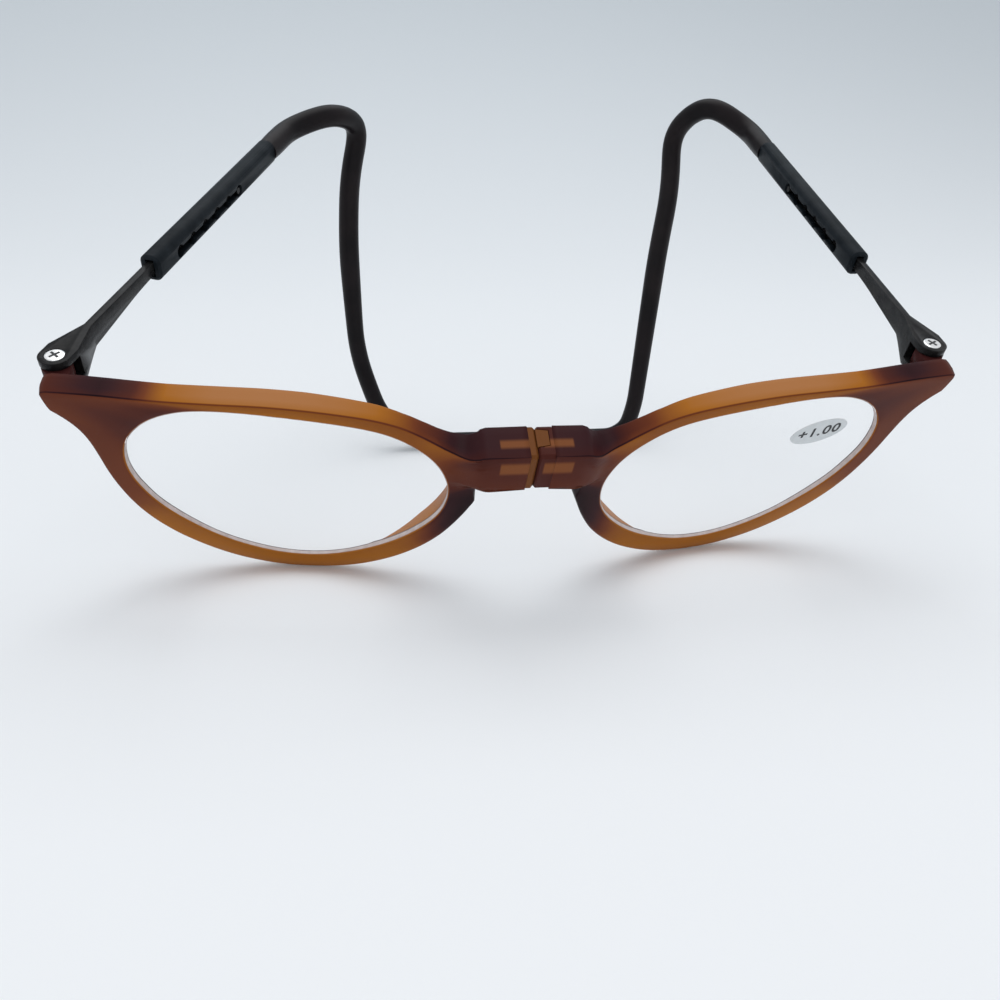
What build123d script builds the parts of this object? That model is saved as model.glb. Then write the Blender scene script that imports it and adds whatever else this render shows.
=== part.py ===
from build123d import *
import os
from copy import copy
from math import cos, pi, radians, sin, tan

os.makedirs("parts", exist_ok=True)

# Magnetic bridge reading glasses, standing on a table on the two rims and the neck loop.
# X runs across the face, the front looks along -Y, and Z is up from the table.
# Each half of the front closes on the plane X = 0, and the right half (+X) is drawn first.

# Whole frame
frame_width = 140.0
rest_tilt = 21.5  # degrees the arms climb towards the neck loop
pantoscopic = 12.8  # degrees the front leans forward from square to the arms
wrap = 11.0  # degrees each half of the front sweeps back
right_turn = 0.5  # degrees the right arm runs in towards the neck
left_turn = 19.4  # the left arm lies folded in a little, with the neck loop swayed to the right
running_play = 0.1  # gap on each side of a part that slides
hinge_play = 0.04  # gap round a part that turns
seat_play = 0.03  # gap on each side of a part that is fixed in a pocket
overrun = 1.0  # how far a cutting shape reaches past the face it cuts

# Corners round the lens opening, in shares of half the lens width and half the lens height
lens_width = 50.5
lens_height = 40.85
lens_corner_shares = (
    (0.943, 0.594),
    (0.717, 0.893),
    (0.377, 1.024),
    (-0.441, 0.888),
    (-0.735, 0.767),
    (-0.956, 0.472),
    (-1.020, 0.091),
    (-0.909, -0.325),
    (-0.576, -0.742),
    (-0.131, -1.001),
    (0.252, -0.998),
    (0.624, -0.761),
    (0.920, -0.310),
    (1.023, 0.173),
)
bend_share = 0.47  # how much of the shorter side of a corner each bend takes
lens_out = 39.4  # lens centre from the plane between the halves
lens_drop = 13.0  # lens centre below the top edge of the bridge
lens_edge = 1.1
lens_dome = 1.0  # how far the front of the lens bulges past its edge
lens_bevel = 0.6  # how far the edge of the lens sits in the rim
lens_setback = 0.6  # the edge of the lens behind the front face

# Rim and end piece
rim_top = 2.5
rim_side = 4.2
rim_bottom = 4.5
front_depth = 2.9  # at the top of the rim
rim_thin = 0.7  # how much less at the bottom
edge_round = 0.6
end_depth = 3.9
end_flare = 18.0  # degrees the outer end turns outward towards its back
end_height = 4.1
end_rise = 0.6  # the end piece stands above the top of the rim
end_corner = 0.9
flare_drop = 9.5  # height of the sweep from the end piece into the rim
flare_hollow = 0.9  # how far that sweep curves in

# Bridge
bridge_half = 8.0
bridge_tall = 8.6
bridge_deep = 6.1
bridge_stand = 0.7  # the bridge stands this far in front of the rims
bridge_bevel = 0.5
neck_dip = 2.0  # the neck lies below the top of the bridge
neck_out = 11.2  # lowest place of the neck
neck_deep = 7.2  # back of the neck behind the front of the bridge
neck_low = 1.6  # how far the neck reaches below the bridge
mating_gap = 0.04  # from the plane between the halves to each half
magnet_long = 4.4
magnet_tall = 3.0
magnet_deep = 2.2
magnet_drop = 3.1  # magnet centre below the top of the bridge
cap_plate = 1.2
tongue_long = 1.9
tongue_root = 3.3
tongue_tip = 2.7
tongue_setback = 3.6  # middle of the tongue behind the front of the bridge
groove_plate = 2.6
cap_chamfer = 0.35

# Nose pad moulded on the back of the rim
pad_deep = 4.6
pad_ledge = 0.7
pad_chord = 21.0  # from the middle of the lens to the chord that ends the pad
pad_turn = 26.0  # degrees the pad lies below the level of the lens centre
pad_crest = 9.0  # the pad keeps its full depth this far to each side of its middle
pad_reach = 19.0  # and has run out into the rim this far from its middle

# Hinge
hinge_out = 0.3  # screw outward from the front corner of the end piece
hinge_below = 3.4  # middle of the hinge below the top of the end piece
hinge_back = 7.0  # screw behind the front face
lug_height = 3.0
lug_radius = 2.1
ear_height = 1.2
ear_radius = 2.4
screw_radius = 0.7
screw_head_radius = 1.5
screw_head_height = 0.6
bushing_wall = 0.35

# Arm
blade_thickness = 1.3
blade_height = 3.0
arm_visible = 28.7  # screw to the mouth of the sleeve
root_length = 9.0

# Sleeve and its row of stops
sleeve_width = 3.7
sleeve_height = 4.7
sleeve_length = 50.6
sleeve_corner = 1.5
stop_count = 6
stop_pitch = 5.0
stop_radius = 1.2
stop_slot = 1.3
first_stop = 7.5  # mouth of the sleeve to the first stop
stop_drop = 0.3  # the row of stops runs below the middle of the sleeve
stud_radius = 0.6
sleeve_lip = 0.4
blade_tail = 2.5  # blade beyond the stud

# Neck loop
band_radius = 2.35
leg_radius = 2.0
spigot_radius = 1.2
spigot_length = 9.0
shoulder_length = 4.0  # from the section of the sleeve to the round band
arm_lead = 5.0  # straight run along the arm before the band turns in
loop_shift = 14.0  # the middle of the loop lies this far to the right of the bridge
loop_out = 36.0  # legs of the loop from its own middle
loop_back = 92.0  # bottom of the loop behind the front of the rims
loop_height = 80.0  # the top of the loop above the table, for the heights of the leg
crown_reach = 15.0  # from the shoulder to the back of the bend over the ear
right_crown_shares = (
    (-0.63, 0.50, 0.58),
    (-1.00, 1.08, 0.13),
    (-1.04, 0.76, -0.87),
)
left_crown_shares = (
    (-0.72, 0.44, 0.40),
    (-1.13, 1.04, 0.24),
    (-0.93, 1.01, -0.64),
)
right_leg_shares = (
    (0.99, 1.114, 0.588),
    (0.764, 0.974, 0.133),
)
left_leg_shares = (
    (1.155, 1.136, 0.602),
    (1.113, 1.003, 0.187),
)
taper_from_share = 0.27  # where the band thins, of the run down its leg
taper_to_share = 0.7
middle_run = 22.0  # straight run along the table at the middle of the loop

# Power label
label_long = 9.0
label_tall = 5.0
label_thick = 0.12
label_turn = 8.0  # degrees
label_out_share = 0.50
label_up_share = 0.48

# Places worked out from the sizes above
front_lean = rest_tilt + pantoscopic
rim_top_line = lens_height / 2 + rim_top - lens_drop
bridge_z = (lens_drop + lens_height / 2 + rim_bottom) * cos(radians(front_lean))
end_reach = frame_width / 2 / cos(radians(wrap))
end_top = rim_top_line + end_rise
fork_height = lug_height + 2 * (ear_height + running_play)
sleeve_rise = fork_height / 2 - blade_height / 2
stop_rise = sleeve_rise - stop_drop
stud_reach = sleeve_width / 2 - 2 * running_play  # from the middle of the blade inward
cavity_width = blade_thickness + 2 * running_play
cavity_height = blade_height + 2 * running_play
stop_travel = (stop_count - 1) * stop_pitch
stud_along = arm_visible + first_stop + stop_travel
blade_end = stud_along + blade_tail
sleeve_end = arm_visible + sleeve_length


def front_face(turn):
    """Plane of the front face of one half, leaning forward and swept back by a turn."""
    across = Vector(cos(radians(turn)), sin(radians(turn)), 0)
    back = Vector(-sin(radians(turn)), cos(radians(turn)), 0)
    up = Vector(0, 0, 1) * cos(radians(front_lean)) - back * sin(radians(front_lean))
    return Plane(origin=(0, 0, bridge_z), x_dir=across, z_dir=across.cross(up))


bridge_face = front_face(0)
rim_face = front_face(wrap)
bridge_front = bridge_face.origin + bridge_face.z_dir * bridge_stand
bridge_section = Plane(origin=bridge_front, x_dir=-bridge_face.z_dir, z_dir=(1, 0, 0))
bridge_plan = Plane(origin=bridge_front, x_dir=(1, 0, 0), z_dir=bridge_face.y_dir)

wearing = Plane.XY.rotated((rest_tilt, 0, 0))
hinge_at = rim_face.from_local_coords((end_reach + hinge_out, end_top - hinge_below, -hinge_back))


def arm_frame(turn):
    """Plane square to the hinge screw of a right arm, which runs back along local Y."""
    across = wearing.x_dir * cos(radians(turn)) + wearing.y_dir * sin(radians(turn))
    return Plane(origin=hinge_at, x_dir=across, z_dir=wearing.z_dir)


def arm_side(frame):
    """Upright plane through the middle of an arm, with local X back along the arm."""
    return Plane(origin=frame.origin, x_dir=frame.y_dir, z_dir=frame.x_dir)


def across_arm(frame, distance):
    """Plane square to an arm, centred on the blade inside the sleeve."""
    centre = frame.from_local_coords((0, distance, sleeve_rise))
    return Plane(origin=centre, x_dir=frame.x_dir, z_dir=frame.y_dir)


hinge_plane = arm_frame(0)


def bend_radii(corners, share):
    """Largest tangent bends that take this share of the shorter side of each corner."""
    radii = []
    for before, corner, after in zip(corners, corners[1:], corners[2:]):
        turn = (corner - before).get_angle(after - corner)
        shorter = min((corner - before).length, (after - corner).length)
        radii.append(share * shorter / tan(radians(turn / 2)))
    return radii


def lens_outline(side, top, bottom):
    """Outline of the lens opening, moved out by a margin at the sides, top and bottom."""
    half_width = lens_width / 2 + side
    half_height = (lens_height + top + bottom) / 2
    rise = (top - bottom) / 2 - lens_drop
    corners = [
        Vector(lens_out + x * half_width, rise + y * half_height) for x, y in lens_corner_shares
    ]
    radii = bend_radii([corners[-1], *corners, corners[0]], bend_share)
    with BuildLine() as outline:
        FilletPolyline(*corners, radius=radii, close=True)
    return outline.line


def bridge_block(start, end):
    """Length of the bridge between two distances from the plane between the halves."""
    with BuildPart() as block:
        with BuildSketch(bridge_section.offset(start)):
            with Locations((bridge_deep / 2, -bridge_tall / 2)):
                section = Rectangle(bridge_deep, bridge_tall)
            chamfer(section.vertices(), bridge_bevel)
        extrude(amount=end - start)
    return block.part


def bridge_arm(start):
    """Bridge from a distance out to the rim, dipping and widening into the neck."""
    neck_end = lens_out - lens_width / 2
    straight = bridge_half - bridge_bevel
    half_way = (straight + neck_out) / 2
    front_back = bridge_stand + neck_out * sin(radians(wrap)) / cos(radians(wrap))
    with BuildPart() as arm_of_bridge:
        with BuildSketch(bridge_plan.offset(overrun)):
            with BuildLine():
                Polyline((start, neck_deep), (start, 0), (straight, 0))
                TangentArc((straight, 0), (half_way, front_back / 2), tangent=(1, 0))
                Line((half_way, front_back / 2), (neck_end, front_back + edge_round))
                Polyline((neck_end, front_back + edge_round), (neck_end, neck_deep), (start, neck_deep))
            make_face()
            with BuildLine():
                Polyline((straight, bridge_deep), (start, bridge_deep), (start, neck_deep + overrun))
                Line((start, neck_deep + overrun), (neck_out, neck_deep + overrun))
                Line((neck_out, neck_deep + overrun), (neck_out, neck_deep))
                ThreePointArc(
                    (neck_out, neck_deep),
                    (half_way, bridge_deep + (neck_deep - bridge_deep) * 0.35),
                    (straight, bridge_deep),
                )
            make_face(mode=Mode.SUBTRACT)
        extrude(amount=-(bridge_tall + neck_low + 2 * overrun))
        with BuildSketch(bridge_face.offset(bridge_stand + overrun)):
            with BuildLine():
                Line((start, 0), (straight, 0))
                TangentArc((straight, 0), (half_way, -neck_dip / 2), tangent=(1, 0))
                TangentArc((half_way, -neck_dip / 2), (neck_out, -neck_dip), tangent=(1, -1))
                Polyline(
                    (neck_out, -neck_dip),
                    (neck_end, -neck_dip),
                    (neck_end, -bridge_tall - neck_low),
                    (neck_out, -bridge_tall - neck_low),
                    (straight, -bridge_tall),
                    (start, -bridge_tall),
                    (start, 0),
                )
            make_face()
        extrude(amount=-(neck_deep + 2 * overrun), mode=Mode.INTERSECT)
    return arm_of_bridge.part


def tongue(play):
    """Tapered tongue of the left half, or the groove that takes it when it has play."""
    middle = (tongue_setback, -bridge_tall / 2)
    with BuildPart() as key:
        with BuildSketch(bridge_section.offset(-mating_gap)):
            with Locations(middle):
                Rectangle(tongue_root + 2 * play, bridge_tall)
        with BuildSketch(bridge_section.offset(tongue_long + play)):
            with Locations(middle):
                Rectangle(tongue_tip + 2 * play, bridge_tall)
        loft(ruled=True)
    return key.part


def end_piece():
    """Outer end of the front, which flares outward towards its back and carries the hinge lug."""
    half_rim = lens_width / 2 + rim_side
    rim_top_at = lens_outline(rim_side, rim_top, rim_bottom).bounding_box().max.Y
    top_start = (lens_out + lens_corner_shares[2][0] * half_rim, rim_top_at - seat_play)
    corner_top = (end_reach - end_corner, end_top)
    corner_side = (end_reach, end_top - end_corner)
    corner_middle = (
        end_reach - end_corner * (1 - cos(radians(45))),
        end_top - end_corner * (1 - sin(radians(45))),
    )
    low_corner = (end_reach, end_top - end_height)
    sweep_end = (lens_out + half_rim - edge_round, end_top - end_height - flare_drop)
    sweep_middle = (
        (low_corner[0] + sweep_end[0]) / 2 - flare_hollow,
        (low_corner[1] + sweep_end[1]) / 2,
    )
    inner_low = (lens_out + lens_width / 2, sweep_end[1])
    backward = rim_face.z_dir * -cos(radians(end_flare)) + rim_face.x_dir * sin(radians(end_flare))
    with BuildPart() as end:
        with BuildSketch(rim_face):
            with BuildLine():
                Line(top_start, corner_top)
                ThreePointArc(corner_top, corner_middle, corner_side)
                Line(corner_side, low_corner)
                ThreePointArc(low_corner, sweep_middle, sweep_end)
                Polyline(sweep_end, inner_low, top_start)
            make_face()
        extrude(amount=end_depth / cos(radians(end_flare)), dir=backward)
        # The back of the end piece runs into the back of the rim
        with BuildSketch(Plane(origin=rim_face.origin, x_dir=rim_face.x_dir, z_dir=-rim_face.y_dir)):
            with BuildLine():
                Polyline(
                    (lens_out, -front_depth),
                    (lens_out + half_rim - end_depth, -front_depth),
                    (lens_out + half_rim, -end_depth),
                    (lens_out + half_rim, -end_depth - overrun),
                    (lens_out, -end_depth - overrun),
                    close=True,
                )
            make_face()
        extrude(amount=lens_height, both=True, mode=Mode.SUBTRACT)
        # Hinge lug
        lug_reach = hinge_back - end_depth / 2
        with BuildSketch(hinge_plane.offset(-lug_height / 2)):
            Circle(lug_radius)
            with Locations((0, -lug_reach / 2)):
                Rectangle(2 * lug_radius, lug_reach)
        extrude(amount=lug_height)
        with BuildSketch(hinge_plane.offset(-lug_height / 2 - overrun)):
            Circle(screw_radius + hinge_play + bushing_wall + seat_play)
        extrude(amount=lug_height + 2 * overrun, mode=Mode.SUBTRACT)
    return end.part


def nose_pad():
    """Part of the rim beyond a chord on the nose side, standing out at the back."""
    pad_from_centre = pad_chord + lens_width / 2
    pad_centre = (
        lens_out - pad_from_centre * cos(radians(pad_turn)),
        -lens_drop - pad_from_centre * sin(radians(pad_turn)),
    )
    toward_nose = rim_face.x_dir * -cos(radians(pad_turn)) - rim_face.y_dir * sin(radians(pad_turn))
    along_pad = Plane(
        origin=rim_face.from_local_coords((lens_out, -lens_drop, 0)),
        x_dir=rim_face.z_dir.cross(toward_nose),
        z_dir=toward_nose,
    )
    with BuildPart() as pad:
        with BuildSketch(rim_face.offset(-front_depth / 2)):
            with BuildLine():
                add(lens_outline(rim_side, rim_top, rim_bottom))
            make_face()
            with Locations(pad_centre):
                Rectangle(lens_width, lens_width, rotation=pad_turn, mode=Mode.INTERSECT)
            with BuildLine():
                add(lens_outline(pad_ledge, pad_ledge, pad_ledge))
            make_face(mode=Mode.SUBTRACT)
        extrude(amount=-(front_depth / 2 + pad_deep))
        with BuildSketch(along_pad):
            with BuildLine():
                Polyline((-pad_crest, -pad_deep), (pad_crest, -pad_deep))
                TangentArc((pad_crest, -pad_deep), (pad_reach, -front_depth / 2), tangent=(1, 0))
                Polyline((pad_reach, -front_depth / 2), (pad_reach, 0), (-pad_reach, 0))
                Line((-pad_reach, 0), (-pad_reach, -front_depth / 2))
                TangentArc((-pad_crest, -pad_deep), (-pad_reach, -front_depth / 2), tangent=(-1, 0))
            make_face()
        extrude(amount=lens_width, mode=Mode.INTERSECT)
    return pad.part


def front_half(cap_depth):
    """Rim, end piece, bridge, nose pad and hinge lug of the right half in one moulding."""
    rim_low_line = -lens_drop - lens_height / 2 - rim_bottom
    with BuildPart() as half:
        with BuildSketch(rim_face):
            with BuildLine():
                add(lens_outline(rim_side, rim_top, rim_bottom))
            make_face()
        extrude(amount=-front_depth)
        # The rim grows thinner towards the table
        with BuildSketch(Plane(origin=rim_face.origin, x_dir=-rim_face.z_dir, z_dir=rim_face.x_dir)):
            with BuildLine():
                Polyline(
                    (front_depth, rim_top_line),
                    (front_depth - rim_thin, rim_low_line - overrun),
                    (front_depth + overrun, rim_low_line - overrun),
                    (front_depth + overrun, rim_top_line),
                    close=True,
                )
            make_face()
        extrude(amount=lens_out + lens_width, mode=Mode.SUBTRACT)
        add(end_piece())
        add(bridge_arm(cap_depth))
        add(nose_pad())
        # Lens opening and the groove that holds the lens
        with BuildSketch(rim_face.offset(2 * overrun)):
            with BuildLine():
                add(lens_outline(0, 0, 0))
            make_face()
        extrude(amount=-(neck_deep + pad_deep + 3 * overrun), mode=Mode.SUBTRACT)
        groove = lens_bevel + seat_play
        with BuildSketch(rim_face.offset(seat_play - lens_setback)):
            with BuildLine():
                add(lens_outline(groove, groove, groove))
            make_face()
        extrude(amount=-(lens_edge + 2 * seat_play), mode=Mode.SUBTRACT)
        # Pocket for the magnet
        with BuildSketch(bridge_section.offset(cap_depth - overrun)):
            with Locations((bridge_deep / 2, -magnet_drop)):
                Rectangle(magnet_deep + 2 * seat_play, magnet_tall + 2 * seat_play)
        extrude(amount=magnet_long + seat_play + overrun, mode=Mode.SUBTRACT)
    return half.part


def magnet(cap_depth):
    """Bar magnet in its pocket behind the cap of the right half."""
    with BuildPart() as bar:
        with BuildSketch(bridge_section.offset(cap_depth)):
            with Locations((bridge_deep / 2, -magnet_drop)):
                Rectangle(magnet_deep, magnet_tall)
        extrude(amount=magnet_long)
    return bar.part


def magnet_cap(cap_depth):
    """Plate that closes the magnet pocket and meets the other half."""
    with BuildPart() as plate:
        add(bridge_block(mating_gap, cap_depth))
        mating_edges = plate.faces().sort_by(Axis.X)[0].edges()
        chamfer(mating_edges, cap_chamfer)
    return plate.part


right = {}
left = {}

right["front"] = front_half(groove_plate)
left["front"] = mirror(front_half(cap_plate), about=Plane.YZ)
right["magnet"] = magnet(groove_plate)
left["magnet"] = mirror(magnet(cap_plate), about=Plane.YZ)
with BuildPart() as groove_cap:
    add(magnet_cap(groove_plate))
    add(tongue(running_play), mode=Mode.SUBTRACT)
right["magnet_cap"] = groove_cap.part
with BuildPart() as tongue_cap:
    mirror(magnet_cap(cap_plate), about=Plane.YZ)
    add(tongue(0))
left["magnet_cap"] = tongue_cap.part


# Lenses: a flat edge in the groove, with a gently domed front and a hollowed back
dome_reach = lens_width / 2 + lens_bevel + overrun
dome_radius = (dome_reach**2 + lens_dome**2) / (2 * lens_dome)


def dome_centre(setback):
    """Centre of the lens sphere whose crown lies this far behind the front face."""
    return rim_face.from_local_coords((lens_out, -lens_drop, -(setback + dome_radius)))


with BuildPart() as right_lens:
    with BuildSketch(rim_face.offset(-lens_setback)):
        with BuildLine():
            add(lens_outline(-seat_play, -seat_play, -seat_play))
        make_face()
    extrude(amount=lens_dome)
    with Locations(dome_centre(lens_setback - lens_dome)):
        Sphere(dome_radius, mode=Mode.INTERSECT)
    with BuildSketch(rim_face.offset(-lens_setback)):
        with BuildLine():
            add(lens_outline(lens_bevel, lens_bevel, lens_bevel))
        make_face()
    extrude(amount=-lens_edge)
    with Locations(dome_centre(lens_setback + lens_edge - lens_dome)):
        Sphere(dome_radius, mode=Mode.SUBTRACT)
right["lens"] = right_lens.part

# Oval sticker on the front of one lens
label_at = (
    lens_out + label_out_share * lens_width / 2,
    label_up_share * lens_height / 2 - lens_drop,
)
with BuildPart() as power_label:
    with BuildSketch(rim_face.offset(overrun)):
        with Locations(label_at):
            Ellipse(label_long / 2, label_tall / 2, rotation=label_turn)
    extrude(amount=-(overrun + lens_setback + lens_edge / 2))
    with Locations(dome_centre(lens_setback - lens_dome - label_thick)):
        Sphere(dome_radius, mode=Mode.INTERSECT)
    with Locations(dome_centre(lens_setback - lens_dome)):
        Sphere(dome_radius, mode=Mode.SUBTRACT)

# Arm: a fork round the lug of the front, then a tapering blade that slides in the sleeve
slot_height = lug_height + 2 * running_play
slot_back = lug_radius + 2 * running_play
blade_top = fork_height / 2
blade_low = blade_top - blade_height


def arm(frame):
    """Fork and blade of one arm in one piece."""
    side = arm_side(frame)
    with BuildPart() as piece:
        with BuildSketch(frame.offset(-fork_height / 2)):
            Circle(ear_radius)
            with BuildLine():
                Polyline(
                    (-ear_radius, 0),
                    (-ear_radius, slot_back),
                    (-blade_thickness / 2, root_length),
                    (-blade_thickness / 2, blade_end),
                    (blade_thickness / 2, blade_end),
                    (blade_thickness / 2, root_length),
                    (ear_radius, slot_back),
                    (ear_radius, 0),
                    close=True,
                )
            make_face()
        extrude(amount=fork_height)
        with BuildSketch(side):
            with BuildLine():
                Polyline(
                    (slot_back, -blade_top),
                    (-ear_radius - overrun, -blade_top),
                    (-ear_radius - overrun, blade_top),
                    (blade_end, blade_top),
                    (blade_end, blade_low),
                    (arm_visible, blade_low),
                )
                Spline(
                    (slot_back, -blade_top),
                    (arm_visible, blade_low),
                    tangents=((1, 0), (1, 0)),
                )
            make_face()
        extrude(amount=ear_radius + overrun, both=True, mode=Mode.INTERSECT)
        # Slot between the ears, holes for the screw and the stud, and the seat of the screw head
        with BuildSketch(frame.offset(-slot_height / 2)):
            slot_front = ear_radius + overrun
            with Locations((0, (slot_back - slot_front) / 2)):
                Rectangle(2 * slot_front, slot_back + slot_front)
        extrude(amount=slot_height, mode=Mode.SUBTRACT)
        with BuildSketch(frame.offset(-fork_height / 2 - overrun)):
            Circle(screw_radius + seat_play)
        extrude(amount=fork_height + 2 * overrun, mode=Mode.SUBTRACT)
        with BuildSketch(frame.offset(fork_height / 2 - screw_head_height)):
            Circle(screw_head_radius + seat_play)
        extrude(amount=screw_head_height + overrun, mode=Mode.SUBTRACT)
        with BuildSketch(side.offset(-blade_thickness / 2 - overrun)):
            with Locations((stud_along, stop_rise)):
                Circle(stud_radius + seat_play)
        extrude(amount=blade_thickness + 2 * overrun, mode=Mode.SUBTRACT)
    return piece.part


def hinge_screw(frame):
    """Screw that pins the fork to the lug."""
    with BuildPart() as piece:
        with BuildSketch(frame.offset(-fork_height / 2)):
            Circle(screw_radius)
        extrude(amount=fork_height - screw_head_height)
        with BuildSketch(frame.offset(fork_height / 2 - screw_head_height)):
            Circle(screw_head_radius)
        extrude(amount=screw_head_height)
    return piece.part


def detent_stud(frame):
    """Stud on the blade that snaps from stop to stop."""
    with BuildPart() as piece:
        with BuildSketch(arm_side(frame).offset(-stud_reach)):
            with Locations((stud_along, stop_rise)):
                Circle(stud_radius)
        extrude(amount=stud_reach + blade_thickness / 2)
    return piece.part


def sleeve(frame):
    """Rounded tube open at the front, with a row of scalloped stops on its inner side."""
    with BuildPart() as piece:
        with BuildSketch(across_arm(frame, arm_visible)):
            RectangleRounded(sleeve_width, sleeve_height, sleeve_corner)
        extrude(amount=sleeve_length)
        mouth_edges = piece.faces().sort_by(Axis(hinge_at, frame.y_dir))[0].edges()
        chamfer(mouth_edges, sleeve_lip)
        with BuildSketch(across_arm(frame, arm_visible - overrun)):
            Rectangle(cavity_width, cavity_height)
        extrude(amount=blade_end - arm_visible + 2 * overrun, mode=Mode.SUBTRACT)
        with BuildSketch(across_arm(frame, sleeve_end + overrun)):
            Circle(spigot_radius + seat_play)
        extrude(amount=-(spigot_length + 2 * overrun), mode=Mode.SUBTRACT)
        with BuildSketch(arm_side(frame).offset(-sleeve_width / 2 - overrun)):
            slot_start = arm_visible + first_stop
            with Locations([(slot_start + step * stop_pitch, stop_rise) for step in range(stop_count)]):
                Circle(stop_radius)
            with Locations((slot_start + stop_travel / 2, stop_rise)):
                Rectangle(stop_travel, stop_slot)
        extrude(amount=sleeve_width / 2 + overrun, mode=Mode.SUBTRACT)
    return piece.part


with BuildPart() as right_hinge_bushing:
    with BuildSketch(hinge_plane.offset(-lug_height / 2)):
        Circle(screw_radius + hinge_play + bushing_wall)
        Circle(screw_radius + hinge_play, mode=Mode.SUBTRACT)
    extrude(amount=lug_height)
right["hinge_bushing"] = right_hinge_bushing.part


def tube(route, radius):
    """Round band along straight runs joined by tangent arcs."""
    radii = bend_radii(route, bend_share)
    print("bends of the band:", [round(bend, 1) for bend in radii])
    with BuildPart() as band:
        with BuildLine() as path:
            FilletPolyline(*route, radius=radii)
        with BuildSketch(Plane(origin=route[0], z_dir=route[1] - route[0])):
            Circle(radius)
        sweep(path=path.line)
    length = sum(edge.length for edge in path.line.edges())
    print("volume against section times length:", round(band.part.volume / (pi * radius**2 * length), 4))
    return band.part


def headband(frame, shift, crown_shares, leg_shares):
    """Round band from the back of the sleeve, over the ear and down to the table."""
    band_start = across_arm(frame, sleeve_end + shoulder_length)
    lead_end = band_start.origin + frame.y_dir * arm_lead
    crown = [lead_end + Vector(x, y, z) * crown_reach for x, y, z in crown_shares]
    leg = [Vector(shift + x * loop_out, y * loop_back, z * loop_height) for x, y, z in leg_shares]
    down = leg[1] - leg[0]
    taper_start = leg[0] + down * taper_from_share
    taper_end = leg[0] + down * taper_to_share
    middle_start = Vector(shift + middle_run, loop_back, leg_radius)
    middle_end = Vector(shift + mating_gap, loop_back, leg_radius)
    with BuildPart() as band:
        with BuildSketch(across_arm(frame, sleeve_end - spigot_length)):
            Circle(spigot_radius)
        extrude(amount=spigot_length + overrun)
        with BuildSketch(across_arm(frame, sleeve_end)):
            RectangleRounded(sleeve_width, sleeve_height, sleeve_corner)
        with BuildSketch(band_start):
            Circle(band_radius)
        loft(ruled=True)
        add(tube([band_start.origin, lead_end, *crown, leg[0], taper_start], band_radius))
        with BuildSketch(Plane(origin=taper_start, z_dir=down)):
            Circle(band_radius)
        with BuildSketch(Plane(origin=taper_end, z_dir=down)):
            Circle(leg_radius)
        loft()
        add(tube([taper_end, leg[1], middle_start, middle_end], leg_radius))
    return band.part


right_frame = arm_frame(right_turn)
left_frame = arm_frame(left_turn)
for name, make in (("arm", arm), ("hinge_screw", hinge_screw), ("detent_stud", detent_stud), ("sleeve", sleeve)):
    right[name] = make(right_frame)
    left[name] = mirror(make(left_frame), about=Plane.YZ)
right["headband"] = headband(right_frame, loop_shift, right_crown_shares, right_leg_shares)
left_headband = headband(left_frame, -loop_shift, left_crown_shares, left_leg_shares)
left["headband"] = mirror(left_headband, about=Plane.YZ)
for name in ("lens", "hinge_bushing"):
    left[name] = mirror(right[name], about=Plane.YZ)

# The origin is the middle of the footprint, on the table
pieces = {"power_label": power_label.part}
for side, half in (("left", left), ("right", right)):
    for name, piece in half.items():
        pieces[f"{side}_{name}"] = piece
box = Compound(children=[copy(piece) for piece in pieces.values()]).bounding_box()
middle = box.center()
to_middle = Location((-middle.X, -middle.Y, 0))
print("the bridge plane lies at", round(to_middle.position.X, 4), round(to_middle.position.Y, 4))
print("hinge at", hinge_at + to_middle.position)

# Files, one for each piece
for name, piece in pieces.items():
    placed = piece.moved(to_middle)
    placed.label = name
    export_step(placed, f"parts/{name}.step")
    print(name, round(placed.volume, 1), len(placed.solids()))
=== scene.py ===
# %% [markdown]
# # Magnetic bridge reading glasses
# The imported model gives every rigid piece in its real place, in metres. This lesson adds what makes
# the pieces look real: rounded mould edges, one unbroken neck loop, cross-head screws, the printed
# figure on the power sticker, and a material for each finish.

# %% Load the model
from collections import namedtuple
from math import atan2, cos, pi, radians, sin, sqrt

import bmesh
import bpy
from mathutils import Matrix, Vector


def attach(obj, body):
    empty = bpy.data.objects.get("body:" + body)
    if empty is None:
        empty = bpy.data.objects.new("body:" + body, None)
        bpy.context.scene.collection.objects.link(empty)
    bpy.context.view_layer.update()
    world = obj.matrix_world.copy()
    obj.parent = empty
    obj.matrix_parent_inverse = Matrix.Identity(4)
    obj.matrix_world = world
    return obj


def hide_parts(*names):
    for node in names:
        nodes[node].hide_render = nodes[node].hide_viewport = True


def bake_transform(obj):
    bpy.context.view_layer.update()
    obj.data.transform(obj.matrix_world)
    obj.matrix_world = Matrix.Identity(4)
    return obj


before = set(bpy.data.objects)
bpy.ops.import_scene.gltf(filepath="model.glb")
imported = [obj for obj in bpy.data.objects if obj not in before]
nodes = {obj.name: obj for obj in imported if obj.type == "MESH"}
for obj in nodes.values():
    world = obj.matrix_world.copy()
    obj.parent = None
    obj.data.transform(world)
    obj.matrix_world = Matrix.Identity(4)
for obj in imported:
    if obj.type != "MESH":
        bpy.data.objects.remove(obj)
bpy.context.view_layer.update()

mm = 0.001
print("pieces in the model:", len(nodes))

# %% [markdown]
# The front leans forward and each half sweeps back a little, so places on the glasses are easiest
# to say in the planes of the front, the bridge and the arm. These helpers turn such a place, given
# in millimetres, into a point of the scene. Everything is drawn as a right piece, and left ones are
# mirrored, which keeps the two sides alike.

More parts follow.
